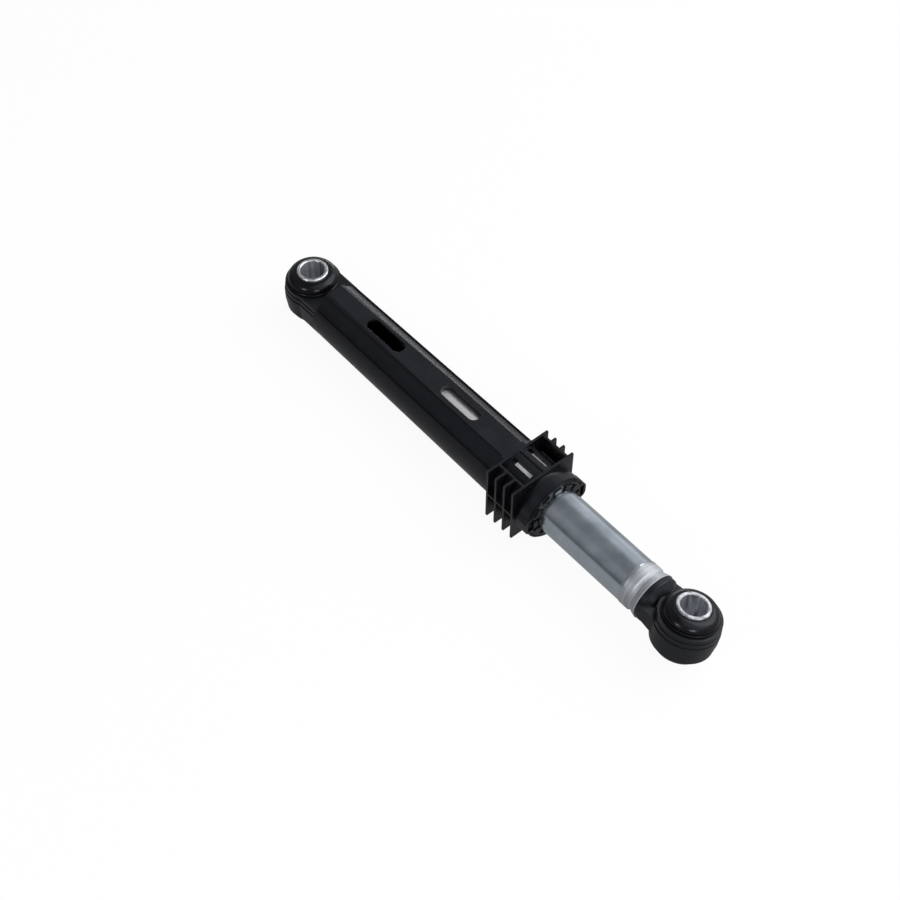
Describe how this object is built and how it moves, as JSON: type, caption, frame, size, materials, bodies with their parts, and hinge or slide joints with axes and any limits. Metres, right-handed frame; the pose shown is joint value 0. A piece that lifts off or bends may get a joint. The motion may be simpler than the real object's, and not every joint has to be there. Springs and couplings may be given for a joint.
{
  "type": "washing machine shock absorber",
  "caption": "Telescopic friction damper: black finned tube and zinc-plated steel rod, each ending in a rubber-bushed eye with a steel bolt sleeve.",
  "frame": {"origin": "centre of the bolt sleeve's bore in the tube's eye, halfway along the sleeve", "axes": "+X along the damper from the tube's eye to the rod's eye, +Z along the bore of the tube's eye, which is up as it lies"},
  "size_m": [0.2518, 0.0318, 0.0294],
  "materials": {
    "black_plastic": "satin moulded, fine grain",
    "black_rubber": "smooth moulded, soft gloss",
    "sleeve_steel": "bright turned",
    "cage_plastic": "satin moulded",
    "lining_felt": "pale greased felt",
    "guide_plastic": "natural nylon",
    "zinc_plate": "satin zinc plate, bluish"
  },
  "bodies": {
    "tube": {"outer_tube": "black_plastic", "tube_eye_bush": "black_rubber", "lining_cage": "cage_plastic", "friction_lining": "lining_felt"},
    "tube_sleeve": {"tube_eye_sleeve": "sleeve_steel"},
    "guide": {"rod_guide_ring": "guide_plastic"},
    "rod": {"rod": "zinc_plate", "rod_eye": "black_plastic", "rod_eye_bush": "black_rubber"},
    "rod_sleeve": {"rod_eye_sleeve": "sleeve_steel"}
  },
  "joints": [
    {"name": "stroke", "type": "slide", "parent": "tube", "child": "guide", "axis": [1, 0, 0], "range_m": [-0.043, 0.042]},
    {"name": "rod_turn", "type": "hinge", "parent": "guide", "child": "rod", "pos_m": [0.226, 0, 0], "axis": [1, 0, 0], "continuous": true},
    {"name": "tube_bush_twist", "type": "hinge", "parent": "tube", "child": "tube_sleeve", "pos_m": [0, 0, 0], "axis": [0, 0, 1], "range_deg": [-20, 20], "stiffness_Nm_per_rad": 1},
    {"name": "rod_bush_twist", "type": "hinge", "parent": "rod", "child": "rod_sleeve", "pos_m": [0.226, 0, 0], "axis": [0, 0.2062, 0.9785], "range_deg": [-20, 20], "stiffness_Nm_per_rad": 1}
  ]
}
